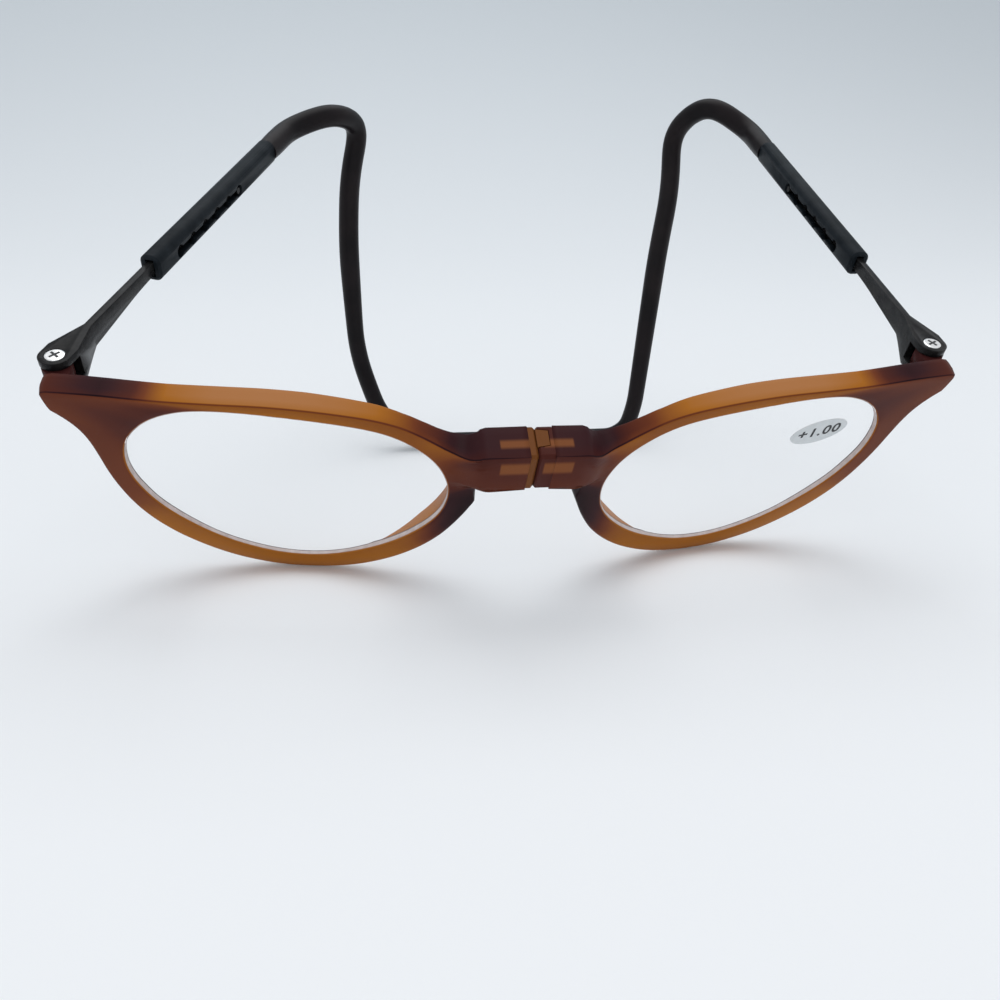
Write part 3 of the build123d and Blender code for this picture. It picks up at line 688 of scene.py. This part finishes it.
def section(place, lens_spot, lens_way, wall_spot, wall_way):
    """The points round the moulding at one place: spot, depth and tone of each."""
    depth, lens_depth, edge = place.depth, place.lens_depth, place.edge
    lens_tone, front_tone, wall_tone = place.lens_tone, place.front_tone, place.wall_tone
    groove_tone = lens_tone * groove_paler
    lip_tone = mix(lens_tone, front_tone, lip_mix)
    edge_shade_tone = front_tone
    # A crisp edge gets painted shade.
    if edge < crisp_edge:
        edge_shade_tone = min(1.0, max(front_tone, wall_tone) + crisp_edge_painted_shade)

    def spot(share, from_lens, from_wall):
        return (lens_spot + lens_way * from_lens).lerp(wall_spot + wall_way * from_wall, share)

    points = [
        (lens_spot, lens_depth - groove_lap, groove_tone),
        (lens_spot, groove_depth, groove_tone),
        (spot(0, lip_turn, 0), lip_turn, groove_tone),
        (spot(0, lip_width, 0), 0.0, lip_tone),
    ]
    for share in face_shares:
        face_tone = mix(lens_tone, front_tone, min(1.0, share * face_haste))
        points.append((spot(share, lip_width, edge), 0.0, face_tone))
    for inset, drop, tone_here in (
        (1.0, 0.0, front_tone),
        (0.62, 0.08, front_tone),
        (0.29, 0.29, edge_shade_tone),
        (0.08, 0.62, edge_shade_tone),
        (0.0, 1.0, mix(front_tone, wall_tone, edge_mix)),
    ):
        points.append((spot(1, 0, edge * inset), edge * drop, tone_here))
    for share in wall_shares:
        points.append((wall_spot, mix(edge, depth, share), wall_tone))
    points.append((wall_spot, depth - back_round, wall_tone))
    wider = 1 + flare_rounder * place.flare
    for inset, lift in ((wall_turn, wall_turn), (back_round, 0.0)):
        points.append((spot(1, 0, inset * wider), depth - lift, wall_tone))
    for share in back_shares:
        back_tone = mix(lens_tone, front_tone, share)
        points.append((spot(share, back_lip, back_round), mix(lens_depth, depth, share), back_tone))
    points.append((spot(0, back_lip, 0), lens_depth, lip_tone))
    points.append((spot(0, back_lip_turn, 0), lens_depth - back_lip_turn / 2, lip_tone))
    return points


test_section = section(outside[0], Vector((0, 0)), Vector((1, 0)), Vector((4, 0)), Vector((-1, 0)))
print("points round a section:", len(test_section))

# %% [markdown]
# The rings of a moulding need the lens line and the wall, with the direction square to each, so
# that an inset is as wide all the way round.

# %% Outline and rings


def square_to(line, sign):
    """Direction square to a closed line at each point: 1 is outwards and -1 inwards."""
    ways = []
    for k in range(len(line)):
        run = line[(k + 1) % len(line)] - line[k - 1]
        ways.append(Vector((run.y, -run.x)).normalized() * sign)
    return ways


def moulding_outline(side):
    """Places of one half with, at each, the lens line and the wall and the ways square to them."""
    places = smooth_places(parting_at[side])
    lens_line = lens_ring([place.turn for place in places])
    wall_line = [Vector((place.out, place.up)) for place in places]
    return places, lens_line, square_to(lens_line, 1), wall_line, square_to(wall_line, -1)


def join_rings(work, rings):
    """Faces between each ring and the next, and between the last and the first."""
    for first, second in zip(rings, rings[1:] + rings[:1]):
        for k in range(len(first)):
            after = (k + 1) % len(first)
            work.faces.new((first[k], first[after], second[after], second[k]))


def finished_mesh(name, work, mirrored=False):
    """The bmesh as a mesh whose faces point outwards, mirrored for a left piece."""
    if mirrored:
        bmesh.ops.scale(work, verts=work.verts, vec=(-1, 1, 1))
    bmesh.ops.recalc_face_normals(work, faces=work.faces)
    mesh = bpy.data.meshes.new(name)
    work.to_mesh(mesh)
    work.free()
    return mesh


def new_verts(made):
    """The vertices among what an operator made."""
    return [item for item in made["geom"] if isinstance(item, bmesh.types.BMVert)]


print("outline of the left half:", len(moulding_outline("left")[0]), "places")

# %% [markdown]
# The end piece carries a lug, which fits in the fork of the arm and takes the screw. It is an
# outline with a round end, drawn square to the screw and extruded along it.

# %% The hinge lug
lug_radius, lug_half_height, lug_tone = 2.1, 1.5, 0.75
lug_root = [(1.9, -1.5), (-0.3, -4.2), (-2.4, -4.2)]


def add_lug(work, tone_layer):
    """The lug on the end piece that the screw passes through."""
    outward, back = arm_axes(0.0)
    turns = [radians(degrees) for degrees in range(-90, 91, 12)]
    lug_outline = [(lug_radius * sin(turn), lug_radius * cos(turn)) for turn in turns]
    foot = []
    for x, y in lug_outline + lug_root:
        spot = outward * x + back * y - screw_axis * lug_half_height
        foot.append(work.verts.new(hinge_at + spot * mm))
        foot[-1][tone_layer] = lug_tone
    lug = bmesh.ops.extrude_face_region(work, geom=[work.faces.new(foot)])
    lug_top = screw_axis * (2 * lug_half_height * mm)
    bmesh.ops.translate(work, verts=new_verts(lug), vec=lug_top)


print("lug of radius", lug_radius)

# %% [markdown]
# Now the two halves can be made. Each point carries its tone in a layer of the mesh, which the
# frosted brown reads. The groove cap of the right half is a rounded copy in the same brown, so it
# needs the layer too, with one tone all over.

# %% Build the front halves
cap_edge, cap_tone = 0.06, 0.68


def front_moulding(side):
    """One half of the front as a mesh of rings that run round the lens."""
    outline = moulding_outline(side)
    sections = [section(*where) for where in zip(*outline)]
    work = bmesh.new()
    tone_layer = work.verts.layers.float.new("tone")
    rings = []
    for ring in zip(*sections):
        made = []
        for place, (spot, back, tone_here) in zip(outline[0], ring):
            vert = work.verts.new(mould_point(spot.x + swell(place, back), spot.y, back))
            vert[tone_layer] = tone_here
            made.append(vert)
        rings.append(made)
    join_rings(work, rings)
    add_lug(work, tone_layer)
    for face in work.faces:
        face.smooth = len(face.verts) == 4
    name = f"{side}_front_moulding"
    piece = add_object(name, finished_mesh(name, work, mirrored=side == "left"))
    wear(piece, frosted_brown)
    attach(piece, f"{side}_front_half")
    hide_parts(f"{side}_front")
    print(piece.name, len(piece.data.polygons), "faces")


groove_cap = rounded_copy("right_magnet_cap", cap_edge, "right_front_half")
wear(groove_cap, frosted_brown)
for item in groove_cap.data.attributes.new("tone", "FLOAT", "POINT").data:
    item.value = cap_tone
for side in ("right", "left"):
    front_moulding(side)

# %% [markdown]
# The edge of each lens is ground, so it shows as a pale line all round the opening, partly painted
# light that the edge catches, with a fine dark line where it sits in the groove. Both are thin rings
# just inside the rim, and follow the same lens line as the moulding, so no gap can open between them.

# %% Ground edges of the lenses
rim_places, lens_line, lens_ways, *_ = moulding_outline("right")
outer_inset, inner_inset = -0.02, -0.10
edge_front, edge_deepest, edge_margin = 0.14, 1.1, 0.12
pale_edge_part, groove_part = (0.0, 0.82), (0.86, 1.0)


def lens_edge(side, name, finish, part):
    """Thin ring just inside the rim, between two shares of the depth at the lens."""
    work = bmesh.new()
    start, end = part
    corners = (outer_inset, start), (inner_inset, start), (inner_inset, end), (outer_inset, end)
    rings = []
    for inset, share in corners:
        made = []
        for point, way, place in zip(lens_line, lens_ways, rim_places):
            spot = point + way * inset
            back = edge_front + (min(place.lens_depth, edge_deepest) - edge_margin) * share
            made.append(work.verts.new(mould_point(spot.x, spot.y, back)))
        rings.append(made)
    join_rings(work, rings)
    name = f"{side}_{name}"
    piece = add_object(name, finished_mesh(name, work, mirrored=side == "left"))
    wear(piece, finish)
    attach(piece, f"{side}_front_half")
    print(piece.name, len(piece.data.polygons), "faces")


for side in ("left", "right"):
    lens_edge(side, "lens_edge", ground_edge_light, pale_edge_part)
    lens_edge(side, "groove_line", groove_shade, groove_part)

# %% [markdown]
# The neck loop is one smooth band that leaves each sleeve, turns down behind the ear and meets
# itself on the table. Its route starts as a few corners, in millimetres: the crown is told from a
# point just behind the sleeve, and the leg and the table from the middle of the scene.

# %% The route of the neck loop
sleeve_up = 1.3
lead_start, lead_end, crown_from = 82.0, 92.0, 88.3
crowns = {
    "right": [(-9.40, 7.51, 7.40), (-14.94, 16.24, 0.90), (-15.62, 11.46, -13.07)],
    "left": [(-10.83, 6.54, 4.80), (-16.90, 15.66, 2.60), (-13.93, 15.10, -9.67)],
}
legs = {
    "right": [(49.64, 45.63, 47.04), (42.90, 33.20, 11.20), (41.40, 33.60, 5.00)],
    "left": [
        (27.58, 47.65, 48.16), (26.50, 38.00, 24.00), (21.80, 35.10, 10.50), (17.00, 35.10, 4.50),
    ],
}
table_from = {"right": 38.0, "left": 8.0}
loop_middle = Vector((14.0, 35.144, 2.0))
past_middle = 2.0


def behind_hinge(side, far):
    """Point on the middle line of the sleeve, or past its end, in millimetres."""
    return on_arm(side, 0, far, sleeve_up) / mm


def loop_corners(side):
    """Corners of one half, drawn as a right one, from the sleeve to just past the middle."""
    crown_start = behind_hinge(side, crown_from)
    crown = [crown_start + Vector(offset) for offset in crowns[side]]
    leg = [Vector(place) for place in legs[side]]
    middle_out = loop_middle.x if side == "right" else -loop_middle.x
    table_ends = (table_from[side], middle_out + past_middle)
    table = [Vector((out, loop_middle.y, loop_middle.z)) for out in table_ends]
    lead = [behind_hinge(side, far) for far in (lead_start, lead_end)]
    return [*lead, *crown, *leg, *table]


for side in ("left", "right"):
    print(side, "half of the loop:", len(loop_corners(side)), "corners")

# %% [markdown]
# The corners are rounded into each other, and each point gets its radius. The band is a little
# thinner where it comes out of the sleeve, and its legs taper towards the table.

# %% Points and radii of the neck loop
ease, bend_steps = 0.45, 4
band_radius, leg_thinner = 2.35, 0.35
sleeve_end = [(79.4, 2.20), (81.0, 2.26)]
taper = (0.20, 0.75)


def rounded_route(corners):
    """Points along straight runs joined by smooth bends."""
    points = [corners[0]]
    for before, corner, after in zip(corners, corners[1:], corners[2:]):
        inward, outward = before - corner, after - corner
        take = ease * min(inward.length, outward.length)
        start, end = corner + inward.normalized() * take, corner + outward.normalized() * take
        points += round_corner(start, corner, end, bend_steps)
    return points + [corners[-1]]


def half_loop(side):
    """Points of one half of the loop with the radius at each, drawn as a right one."""
    points = rounded_route(loop_corners(side))
    leg_top, leg_low = (Vector(place) for place in legs[side][:2])
    thin_from, thin_to = (leg_top.lerp(leg_low, share).z for share in taper)
    half = [(behind_hinge(side, far), radius) for far, radius in sleeve_end]
    for number, point in enumerate(points):
        thin = 0.0
        if number > len(points) / 2:
            thin = min(max((thin_from - point.z) / (thin_from - thin_to), 0.0), 1.0)
        half.append((point, band_radius - leg_thinner * thin))
    return half


left_half = [(Vector((-point.x, point.y, point.z)), radius) for point, radius in half_loop("left")]
whole_route = half_loop("right") + left_half[::-1]
print("points on the route of the loop:", len(whole_route))

# %% [markdown]
# A NURBS curve through these points gives the band an even flow, where straight tubes would kink.
# It is made a mesh at once. The two halves of the model meet at the bottom, and this one mesh runs
# through there in place of both.


def mesh_of(name, data):
    """The mesh that a curve or a text makes."""
    drawn = add_object(name, data)
    bpy.context.view_layer.update()
    evaluated = drawn.evaluated_get(bpy.context.evaluated_depsgraph_get())
    mesh = bpy.data.meshes.new_from_object(evaluated)
    bpy.data.objects.remove(drawn)
    return mesh


loop_curve = bpy.data.curves.new("neck_loop_route", "CURVE")
loop_curve.dimensions = "3D"
loop_curve.bevel_depth = 1.0 * mm
loop_curve.bevel_resolution = 8
loop_curve.use_fill_caps = True
loop_curve.resolution_u = 14
line = loop_curve.splines.new("NURBS")
line.points.add(len(whole_route) - 1)
for knot, (point, radius) in zip(line.points, whole_route):
    knot.co = (*(point * mm), 1)
    knot.radius = radius
line.order_u = 4
line.use_endpoint_u = True
line.use_smooth = True
loop_mesh = mesh_of("loop_route", loop_curve)
for face in loop_mesh.polygons:
    face.use_smooth = True
neck_loop = add_object("neck_loop", loop_mesh)
wear(neck_loop, smooth_band)
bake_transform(neck_loop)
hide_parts("left_headband", "right_headband")
print("neck loop:", len(loop_mesh.polygons), "faces")

# %% [markdown]
# The hinge screws are turned: a profile is spun into a head with a bevelled rim and its shank. The
# recess could be cut with a Boolean, which is fragile on so small a head, so two thin dark bars
# crossed on its top paint the shade in the recess instead.

# %% Hinge screws
shank_radius, head_radius = 0.7, 1.5
shank_end, head_under, head_top = -2.75, 2.22, 2.90
screw_profile = [
    (0, shank_end), (shank_radius, shank_end), (shank_radius, head_under),
    (head_radius, head_under), (head_radius, 2.66), (1.42, 2.80), (1.25, 2.87), (0, head_top),
]
bar_long, bar_wide, bar_high, bar_sunk = 1.7, 0.34, 0.06, 0.01
screw_turn = radians(28)


def screw_mesh(name):
    """A screw spun from its profile, standing on its own axis."""
    turned = bmesh.new()
    verts = [turned.verts.new((x * mm, 0, z * mm)) for x, z in screw_profile]
    edges = [turned.edges.new(pair) for pair in zip(verts, verts[1:])]
    bmesh.ops.spin(
        turned, geom=verts + edges, axis=(0, 0, 1), angle=2 * pi, steps=48, use_merge=True
    )
    bmesh.ops.remove_doubles(turned, verts=turned.verts, dist=merge_within)
    return finished_mesh(name, turned)


def cross_mesh(name):
    """Two thin dark bars crossed on the screw's top, painted shade of its recess, one a hair higher
    than the other.
    """
    cross = bmesh.new()
    for x, y in ((bar_long, bar_wide), (bar_wide, bar_long)):
        bar = bmesh.ops.create_cube(cross, size=1.0)["verts"]
        bmesh.ops.scale(cross, verts=bar, vec=(x * mm, y * mm, bar_high * mm))
        middle_height = head_top - bar_sunk + bar_sunk * x
        bmesh.ops.translate(cross, verts=bar, vec=(0, 0, middle_height * mm))
    return finished_mesh(name, cross)


def hinge_screw(side):
    """Cross-head screw through the fork of one arm."""
    outward, back = arm_axes(arm_turns[side])
    axes = Matrix((outward, back, screw_axis)).transposed().to_4x4()
    standing = Matrix.Translation(hinge_at) @ axes @ Matrix.Rotation(screw_turn, 4, "Z")
    screw = add_object(f"{side}_cross_screw", screw_mesh(f"{side}_cross_screw"))
    recess = add_object(f"{side}_cross_recess", cross_mesh(f"{side}_cross_recess"))
    # The recess bars wear the dark ink as painted shade.
    for piece, finish in ((screw, bright_steel), (recess, ink_and_recess_shade)):
        piece.data.transform(standing)
        if side == "left":
            piece.data.transform(Matrix.Scale(-1, 4, (1, 0, 0)))
            piece.data.flip_normals()
        wear(piece, finish)
        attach(piece, f"{side}_temple")
    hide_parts(f"{side}_hinge_screw")
    print(screw.name, len(screw.data.polygons), "faces")


for side in ("left", "right"):
    hinge_screw(side)

# %% [markdown]
# The sticker is a thin oval film that lies on the domed front of the lens and is turned a little.
# It is two discs joined at their rims, whose points are set down on the dome one by one.

# %% Power sticker
sticker_place = (0.46, 0.555)
sticker_out = lens_centre[0] + sticker_place[0] * half_lens[0]
sticker_up = lens_centre[1] + sticker_place[1] * half_lens[1]
sticker_half = (5.35, 2.95)
sticker_thick = 0.13
sticker_turn = Matrix.Rotation(radians(8), 3, "Z")
dome_front, dome_reach, dome_rise = -0.40, 26.85, 1.0
dome_radius = (dome_reach**2 + dome_rise**2) / (2 * dome_rise)


def on_dome(spot, lift):
    """Point on the front of the right lens, from millimetres beside the sticker's middle."""
    out, up = sticker_out + spot.x, sticker_up + spot.y
    reach_squared = (out - lens_centre[0]) ** 2 + (up - lens_centre[1]) ** 2
    dome_back = dome_front + dome_radius - sqrt(dome_radius**2 - reach_squared)
    return on_front(out, up, dome_back - lift)


film = bmesh.new()
for lift in (0.0, sticker_thick):
    disc = bmesh.ops.create_circle(film, cap_ends=True, cap_tris=True, segments=56, radius=1.0)
    for vert in disc["verts"]:
        oval = Vector((vert.co.x * sticker_half[0], vert.co.y * sticker_half[1], 0))
        vert.co = on_dome(sticker_turn @ oval, lift)
bmesh.ops.bridge_loops(film, edges=[edge for edge in film.edges if edge.is_boundary])
power_sticker = add_object("power_sticker", finished_mesh("power_sticker", film))
wear(power_sticker, grey_film)
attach(power_sticker, "right_front_half")
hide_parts("power_label")
print("sticker:", len(power_sticker.data.polygons), "faces")

# %% [markdown]
# The power figure is printed on the sticker, as a plain number. Text is the quickest way to draw
# it: it is made a mesh first, and its points are then laid on the dome like the sticker's.

# %% Power figure
figure_size, figure_bold, ink_thick = 3.2 * mm, 0.045 * mm, 0.02 * mm
ink_lift = 0.15
figure_text = bpy.data.curves.new("power_figure_text", "FONT")
figure_text.body = "+1.00"
figure_text.align_x = "CENTER"
figure_text.align_y = "CENTER"
figure_text.size = figure_size
figure_text.space_character = 1.12
figure_text.offset = figure_bold
figure_text.extrude = ink_thick
figure_mesh = mesh_of("figure_text", figure_text)
for vert in figure_mesh.vertices:
    spot = sticker_turn @ vert.co / mm
    vert.co = on_dome(spot, ink_lift + spot.z)
power_figure = add_object("power_figure", figure_mesh)
wear(power_figure, ink_and_recess_shade)
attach(power_figure, "right_front_half")
print("figure:", len(figure_mesh.polygons), "faces")

# %% [markdown]
# The stage is one pale sheet that runs back and curves up behind, as in a product photograph, so
# no horizon shows. A grid gives the table, its far edge is extruded upwards, and a wide bevel turns
# the corner between them into the curve.

# %% Stage
half_sheet, sheet_rise, sheet_curve = 1.5, 2.0, 1.2
nearly = 0.01


def at_far_edge(edge):
    """Whether both ends of an edge lie at the far side of the table, and on it."""
    return all(vert.co.y > half_sheet - nearly and vert.co.z < nearly for vert in edge.verts)


sheet = bmesh.new()
bmesh.ops.create_grid(sheet, x_segments=1, y_segments=1, size=half_sheet)
far_edge = [edge for edge in sheet.edges if at_far_edge(edge)]
risen = bmesh.ops.extrude_edge_only(sheet, edges=far_edge)
bmesh.ops.translate(sheet, verts=new_verts(risen), vec=(0, 0, sheet_rise))
fold = [edge for edge in sheet.edges if at_far_edge(edge)]
bmesh.ops.bevel(
    sheet,
    geom=fold,
    offset=sheet_curve,
    segments=24,
    profile=0.5,
    affect="EDGES",
    material=-1,
)
for face in sheet.faces:
    face.smooth = True
sheet_mesh = bpy.data.meshes.new("stage")
sheet.to_mesh(sheet_mesh)
sheet.free()
stage_sheet = add_object("stage", sheet_mesh)
print("stage:", len(sheet_mesh.polygons), "faces")

# %% [markdown]
# The sheet is nearly white near the camera and a little greyer far away, where the grey is painted
# shade for the lamps' light falling off. A ramp along its length paints it, which keeps the lamps
# plain.

# %% Finish of the stage
pale_sheet, sheet_shader = new_finish("pale_sheet", (0.80, 0.82, 0.87), 0.7, specular=0.1)
sheet_point = add_node(pale_sheet, "ShaderNodeTexCoord").outputs["Object"]
sheet_split = add_node(pale_sheet, "ShaderNodeSeparateXYZ")
join(pale_sheet, sheet_point, sheet_split.inputs["Vector"])
sheet_share = math_node(pale_sheet, "MULTIPLY_ADD", sheet_split.outputs["Y"], 0.5, 0.3)
# Near white, turning to painted shade far away.
sheet_white_and_falloff = [(0.20, (0.885, 0.900, 0.915)), (0.85, (0.60, 0.65, 0.685))]
sheet_colour = colour_ramp(pale_sheet, sheet_share, sheet_white_and_falloff)
join(pale_sheet, sheet_colour, sheet_shader.inputs["Base Color"])
wear(stage_sheet, pale_sheet)
print("stage wears", stage_sheet.data.materials[0].name)

# %% [markdown]
# Two soft lamps hang almost overhead, one a little behind and one a little in front, so each rim
# throws two thin soft shadows on the table. The world fills the rest.

# %% Lights
lamps_face = Vector((0, -0.02, 0.02))
room_colour, room_strength = (0.95, 0.97, 1.0), 0.78
world = bpy.data.worlds.new("soft_room")
world.use_nodes = True
bpy.context.scene.world = world
room = world.node_tree.nodes["Background"]
room.inputs["Color"].default_value = (*room_colour, 1)
room.inputs["Strength"].default_value = room_strength


def soft_lamp(name, place, power, size):
    """Square lamp that faces the glasses."""
    lamp_data = bpy.data.lights.new(name, "AREA")
    lamp_data.energy = power
    lamp_data.size = size
    lamp = add_object(name, lamp_data)
    lamp.location = place
    lamp.rotation_euler = (lamps_face - Vector(place)).to_track_quat("-Z", "Y").to_euler()


soft_lamp("lamp_back", (0.05, 0.30, 0.9), 2.6, 0.9)
soft_lamp("lamp_front", (-0.10, -0.10, 0.9), 0.8, 0.5)
bpy.context.scene.view_settings.view_transform = "Standard"
print("lamps:", len(bpy.data.lights))
